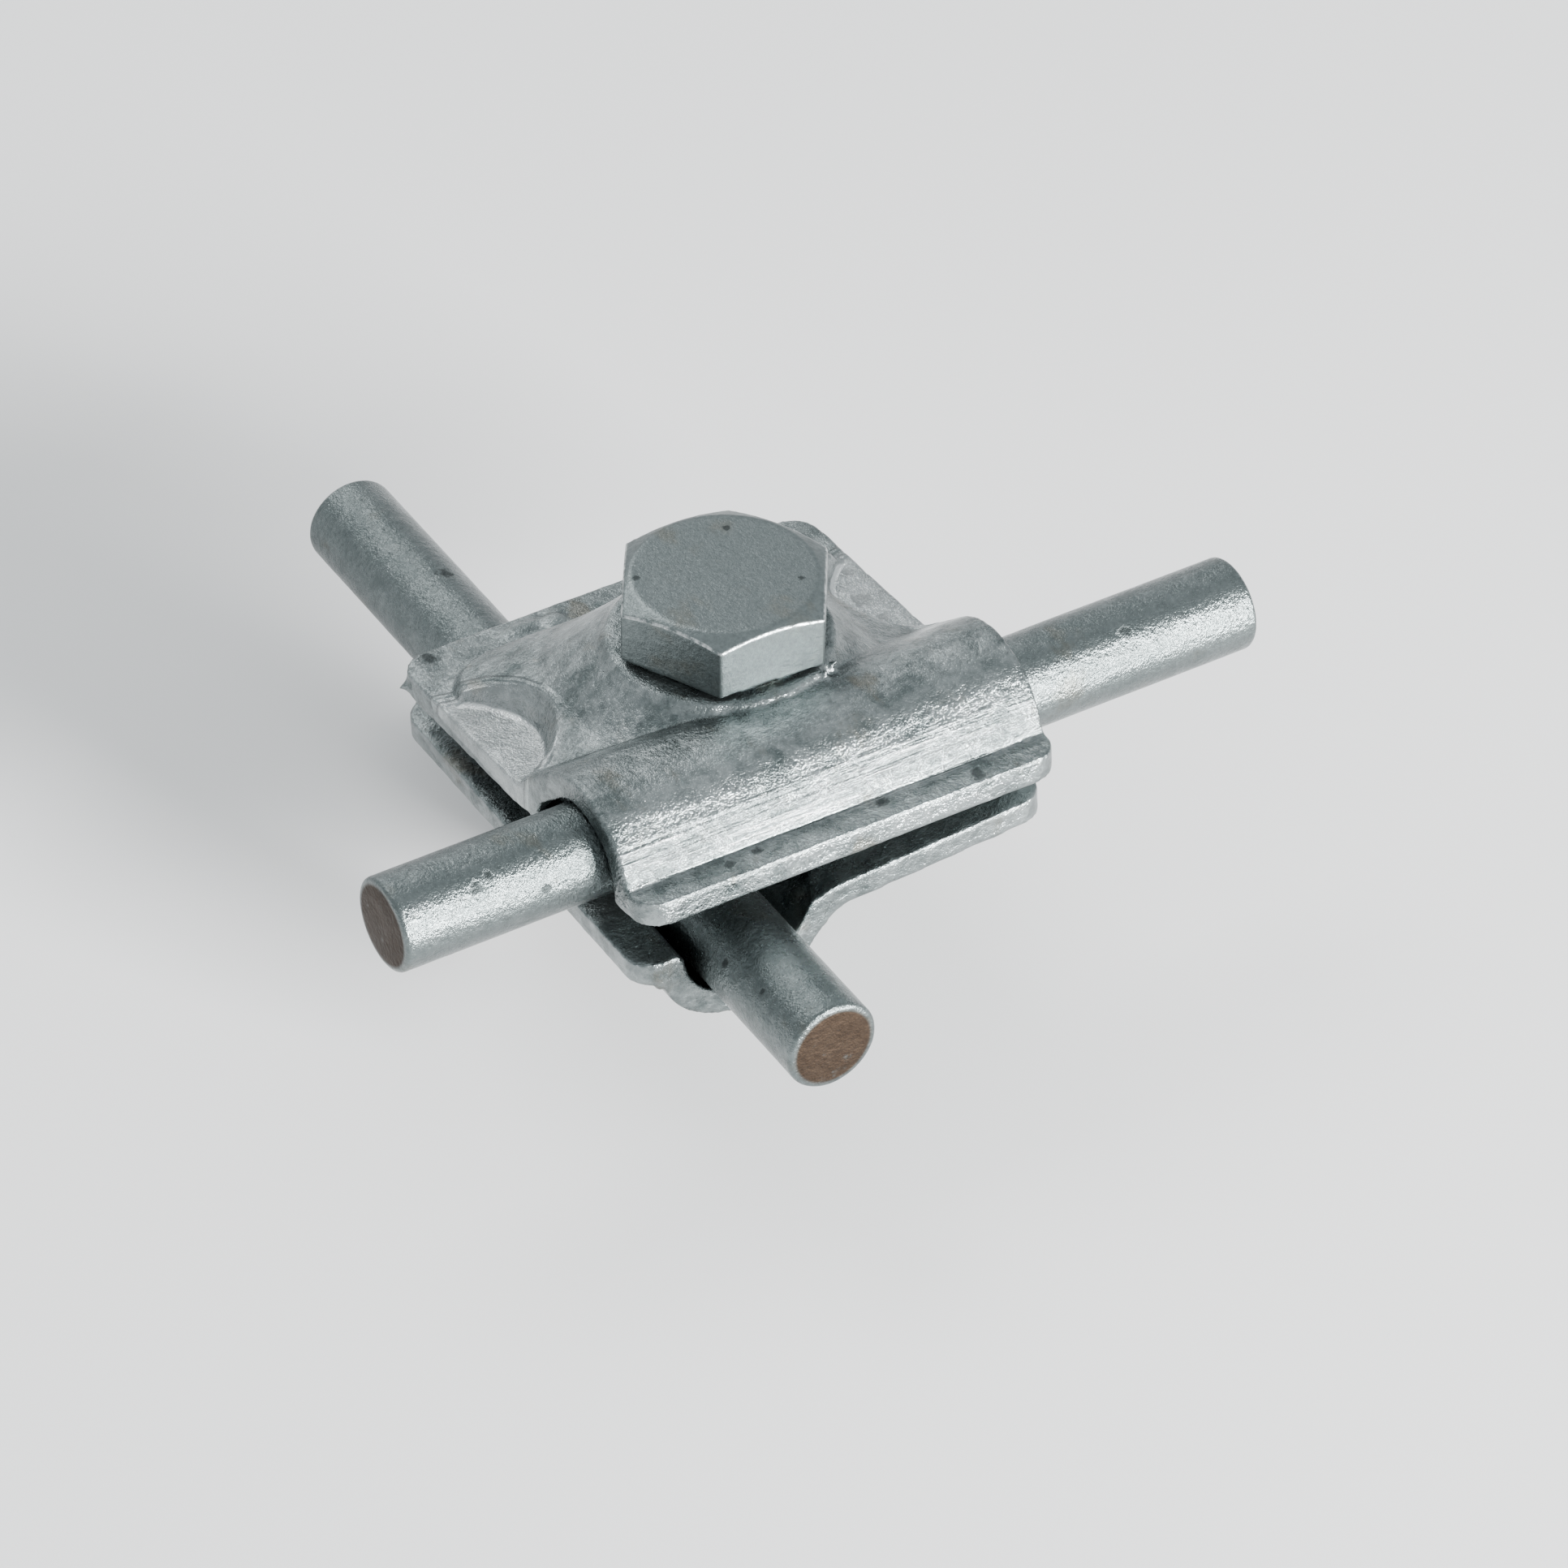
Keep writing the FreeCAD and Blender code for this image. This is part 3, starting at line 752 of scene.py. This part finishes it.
# %% [markdown]
# Zinc that ran together while the upper plate hung to drain left a blob with a spike at
# one corner, two flat blobs by the back edge, a tip at the front corner and two thorns
# under the bolt head. They are overlapping balls and cones, which the remesh melts in.

# %% Drops and thorns
THORN_TIP = 0.15
THORN_SIDES = 12


def add_drop(obj, place, radii, turn):
    """A flattened ball of zinc that overlaps the sheet; sizes in millimetres."""
    turned = Matrix.Rotation(math.radians(turn), 4, "Z") @ Matrix.Diagonal((*radii, 1.0))
    where = Matrix.Translation(place) @ turned
    with opened(obj.data) as build:
        bmesh.ops.create_icosphere(build, subdivisions=3, radius=1.0, matrix=where)


def add_thorn(obj, root, tip, radius):
    """A small cone of zinc from its root to its tip; sizes in millimetres."""
    root, tip = Vector(root), Vector(tip)
    turn = (tip - root).to_track_quat("Z", "Y").to_matrix().to_4x4()
    where = Matrix.Translation((root + tip) / 2) @ turn
    with opened(obj.data) as build:
        bmesh.ops.create_cone(
            build, cap_ends=True, segments=THORN_SIDES, radius1=radius,
            radius2=radius * THORN_TIP, depth=(tip - root).length, matrix=where)


# Each drop: place, radii, turn. Each thorn: root, tip, radius.
UPPER_DROPS = (
    ((-8.9, 17.4, 2.35), (2.6, 0.95, 0.5), 4.0),
    ((-6.2, 17.0, 2.4), (1.3, 0.9, 0.55), -10.0),
    ((-18.4, 17.0, 2.1), (1.3, 1.0, 0.6), 40.0),
)
UPPER_THORNS = (
    ((-18.9, 17.2, 1.3), (-20.5, 17.5, 0.9), 0.9),
    ((3.9, -8.3, 10.2), (4.3, -9.1, 11.1), 0.45),
    ((5.0, -7.8, 10.2), (5.7, -8.4, 11.2), 0.4),
    ((-17.4, -19.9, 3.9), (-17.6, -21.0, 3.4), 0.8),
)
upper_plate = merged_copy("upper_plate", "upper_plate_zinc")
for drop in UPPER_DROPS:
    add_drop(upper_plate, *drop)
for thorn in UPPER_THORNS:
    add_thorn(upper_plate, *thorn)
print(len(UPPER_DROPS), "drops and", len(UPPER_THORNS), "thorns")

# %% [markdown]
# Thick sheet doesn't fold sharply: beside the groove the real plates turn in a soft
# bend, which shows on their cut edges. The CAD solid has a crisp fold there, so points
# near it are moved towards the inside of the bend, fully at the edges of the plate.

# %% Soft bends
FOLD_REACH = 3.4


def soften_fold(obj, across, corner, flat, flank, radius, ends):
    """Turn a sharp fold of the sheet into a soft bend; sizes in millimetres.

    The fold runs level, square to the axis across. Seen along it, corner is the middle of
    the sheet at the fold, and flat and flank are the ways the sheet leaves it. ends are
    the distances from the middle of the plate at which the softening starts and is full.
    """
    points = np.empty(len(obj.data.vertices) * 3)
    obj.data.vertices.foreach_get("co", points)
    points = points.reshape(-1, 3)
    flat, flank = (np.array(way) / np.hypot(*way) for way in (flat, flank))
    half_turn = math.acos(-float(flat @ flank)) / 2
    inward = (flat + flank) / np.hypot(*(flat + flank))
    spread = (flat - flank) / np.hypot(*(flat - flank))
    away = points[:, [across, 2]] - corner
    from_fold = np.abs(away @ spread) / math.cos(half_turn)
    short = np.clip(radius * math.tan(half_turn) - from_fold, 0, None)
    shift = short ** 2 / (2 * radius * math.cos(half_turn))
    shift[np.hypot(*away.T) > FOLD_REACH] = 0
    shift *= np.clip((np.abs(points[:, 1 - across]) - ends[0]) / (ends[1] - ends[0]), 0, 1)
    points[:, [across, 2]] += shift[:, None] * inward
    obj.data.vertices.foreach_set("co", points.ravel())
    obj.data.update()
    print("fold of", obj.name, "moved by up to", round(float(shift.max()), 2), "mm")


print("a fold is softened within", FOLD_REACH, "mm")

# %% [markdown]
# Both plates are the same kind of pressing, so they are remeshed, softened and coated
# alike. The small fold at the lower plate's narrow lip is softened along its whole length.

# %% Plates
PLATE_VOXEL = 0.24
PLATE_SMOOTHING = 4
PLATE_WAVES = (0.16, 3.2, 0.05, 0.8)
EDGE_ENDS = (15.5, 18.0)
WHOLE_LENGTH = (-1.0, 0.0)

even_mesh(upper_plate, PLATE_VOXEL)
soften_fold(upper_plate, across=1, corner=(-2.31, 2.7), flat=(1.0, -0.062),
            flank=(-0.66, 0.75), radius=5.0, ends=EDGE_ENDS)
coat(upper_plate, PLATE_SMOOTHING, PLATE_WAVES, sheet_zinc,
     "upper_jaw", ["upper_plate"])
lower_plate = merged_copy("lower_plate", "lower_plate_zinc")
even_mesh(lower_plate, PLATE_VOXEL)
soften_fold(lower_plate, across=0, corner=(-2.48, -2.81), flat=(1.0, 0.062),
            flank=(-0.57, -0.82), radius=4.5, ends=EDGE_ENDS)
soften_fold(lower_plate, across=0, corner=(-16.24, -3.67), flat=(-1.0, -0.062),
            flank=(0.1, -0.995), radius=0.9, ends=WHOLE_LENGTH)
coat(lower_plate, PLATE_SMOOTHING, PLATE_WAVES, sheet_zinc,
     "lower_jaw", ["lower_plate"])

# %% [markdown]
# The bolt's head is forged: flat faces, a turned chamfer and edges that are only just
# broken. The CAD bolt is cut off below its washer face, and the part above is coated.

# %% Bolt head
WASHER_FACE = 10.8
HEAD_CUT = WASHER_FACE - 1.2
HEAD_VOXEL = 0.16
HEAD_SMOOTHING = 4
HEAD_WAVES = (0.03, 3.0, 0.012, 0.6)


def cut_below(obj, height):
    """Keep what is above a height, in millimetres, and close the cut."""
    with opened(obj.data) as build:
        every = build.verts[:] + build.edges[:] + build.faces[:]
        bmesh.ops.bisect_plane(
            build, geom=every, plane_co=(0, 0, height), plane_no=(0, 0, 1), clear_inner=True)
        rim = [edge for edge in build.edges if edge.is_boundary]
        bmesh.ops.contextual_create(build, geom=rim)
        bmesh.ops.recalc_face_normals(build, faces=build.faces)


head = merged_copy("clamp_bolt", "bolt_head")
cut_below(head, HEAD_CUT)
even_mesh(head, HEAD_VOXEL)
coat(head, HEAD_SMOOTHING, HEAD_WAVES, bolt_zinc, "bolt", ["clamp_bolt"])

# %% [markdown]
# The thread follows a rule, so it is made from one: on a grid of turns and heights the
# radius rises and falls with height minus turn. Geometry Nodes bend the grid round.

# %% Threaded shank by Geometry Nodes
SHANK_RADIUS = 5.0
SHANK_POINT = 1.0
SHANK_TOP = WASHER_FACE - 0.3
THREAD_PITCH = 1.5
THREAD_DEPTH = 0.92
CREST_WIDTH = 0.12
FLANK_WIDTH = 0.7
GRID_AROUND = 72
GRID_ALONG = 420
CLOSING_SLOPE = 400.0
SEAM_REACH = 0.0005
# Whole turns added so that the count of coils stays above nought.
SPARE_TURNS = 40.0


def thread_tree():
    """A flat grid rolled into a threaded rod that closes at both ends."""
    sizes = ("Radius", "Depth", "Pitch", "Bottom", "Length", "Point")
    bench, size = open_tree("thread", sizes, takes_mesh=False)
    values = {"Size X": 1.0, "Size Y": 1.0,
              "Vertices X": GRID_AROUND + 1, "Vertices Y": GRID_ALONG + 1}
    grid = bench.node("GeometryNodeMeshGrid", None, values)
    u, v, _ = bench.parts_of(bench.node("GeometryNodeInputPosition"))
    turn = (u + 0.5) * (2 * math.pi)
    climb = (v + 0.5) * size["Length"]
    coils = climb / size["Pitch"] - (u + 0.5) + SPARE_TURNS
    phase = bench.node("ShaderNodeMath", {"operation": "FRACT"}, {0: coils})
    groove = ((phase * 2 - 1).size() - CREST_WIDTH) / FLANK_WIDTH
    groove = bench.node("ShaderNodeClamp", None, {0: groove})
    radius = size["Radius"] - size["Depth"] * groove
    radius = radius.least(size["Radius"] - size["Point"] + climb)
    radius = radius.least(climb * CLOSING_SLOPE)
    radius = radius.least((size["Length"] - climb) * CLOSING_SLOPE)
    cosine = bench.node("ShaderNodeMath", {"operation": "COSINE"}, {0: turn})
    sine = bench.node("ShaderNodeMath", {"operation": "SINE"}, {0: turn})
    values = {0: radius * cosine, 1: radius * sine, 2: size["Bottom"] + climb}
    bent = bench.node("ShaderNodeCombineXYZ", None, values)
    values = {"Geometry": grid, "Position": bent}
    rolled = bench.node("GeometryNodeSetPosition", None, values)
    values = {"Geometry": rolled, "Distance": SEAM_REACH}
    joined = bench.node("GeometryNodeMergeByDistance", None, values)
    return close_tree(bench, joined, size["Material"])


shank_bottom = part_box("clamp_bolt")[0].z / MM
shank = add_object("threaded_shank", bpy.data.meshes.new("threaded_shank"))
add_tree(shank, thread_tree(), {
    "Radius": SHANK_RADIUS, "Depth": THREAD_DEPTH, "Pitch": THREAD_PITCH,
    "Bottom": shank_bottom, "Length": SHANK_TOP - shank_bottom,
    "Point": SHANK_POINT, "Material": bolt_zinc})
settle(shank)
with opened(shank.data) as build:
    bmesh.ops.recalc_face_normals(build, faces=build.faces)
shank.data.transform(Matrix.Scale(MM, 4))
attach(shank, "bolt")
print("thread turns:", round((WASHER_FACE - shank_bottom) / THREAD_PITCH, 1))

# %% [markdown]
# A bar is a plain round, but a straight computer cylinder looks false beside zinc.
# Rings along its length let the skin wave, and its ends turn over a small radius.

# %% Conductors
BAR_EDGE = 0.45
BAR_EDGE_STEPS = 4
BAR_RING_GAP = 0.5
BAR_AROUND = 96
BAR_WAVES = (0.06, 4.0, 0.02, 0.7)


def bar_profile(start, stop):
    """The rings of a bar from end to end, each a place along it and a radius."""
    rings = [(start, BAR_RADIUS * 0.5), (start, BAR_RADIUS - BAR_EDGE)]
    for step in range(1, BAR_EDGE_STEPS + 1):
        turn = math.pi / 2 * step / BAR_EDGE_STEPS
        inset = BAR_EDGE * (1 - math.cos(turn))
        rings.append((start + inset, BAR_RADIUS - BAR_EDGE * (1 - math.sin(turn))))
    far_end = [(start + stop - place, radius) for place, radius in reversed(rings)]
    straight = stop - start - 2 * BAR_EDGE
    gaps = int(straight / BAR_RING_GAP)
    for step in range(1, gaps):
        rings.append((start + BAR_EDGE + straight * step / gaps, BAR_RADIUS))
    return rings + far_end


def turned_bar(name, node, axis):
    """A round bar from the CAD node's box, with small round ends."""
    low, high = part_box(node)
    centre_across = (low[1 - axis] + high[1 - axis]) / 2 / MM
    centre_up = (low.z + high.z) / 2 / MM
    rings = bar_profile(low[axis] / MM, high[axis] / MM)
    points = []
    for place, radius in rings:
        for step in range(BAR_AROUND):
            turn = 2 * math.pi * step / BAR_AROUND
            across = centre_across + radius * math.cos(turn)
            up = centre_up + radius * math.sin(turn)
            points.append((place, across, up) if axis == 0 else (across, place, up))
    faces = []
    for first in range(0, (len(rings) - 1) * BAR_AROUND, BAR_AROUND):
        for step in range(BAR_AROUND):
            here, there = first + step, first + (step + 1) % BAR_AROUND
            faces.append((here, there, there + BAR_AROUND, here + BAR_AROUND))
    faces.append(tuple(range(BAR_AROUND)))
    faces.append(tuple(range(len(points) - BAR_AROUND, len(points))))
    mesh = bpy.data.meshes.new(name)
    mesh.from_pydata(points, [], faces)
    with opened(mesh) as build:
        bmesh.ops.recalc_face_normals(build, faces=build.faces)
    return add_object(name, mesh)


for axis, node in enumerate(BAR_NODES):
    bar = turned_bar(node + "_zinc", node, axis)
    coat(bar, 0, BAR_WAVES, bar_zinc, "lower_jaw", [node])
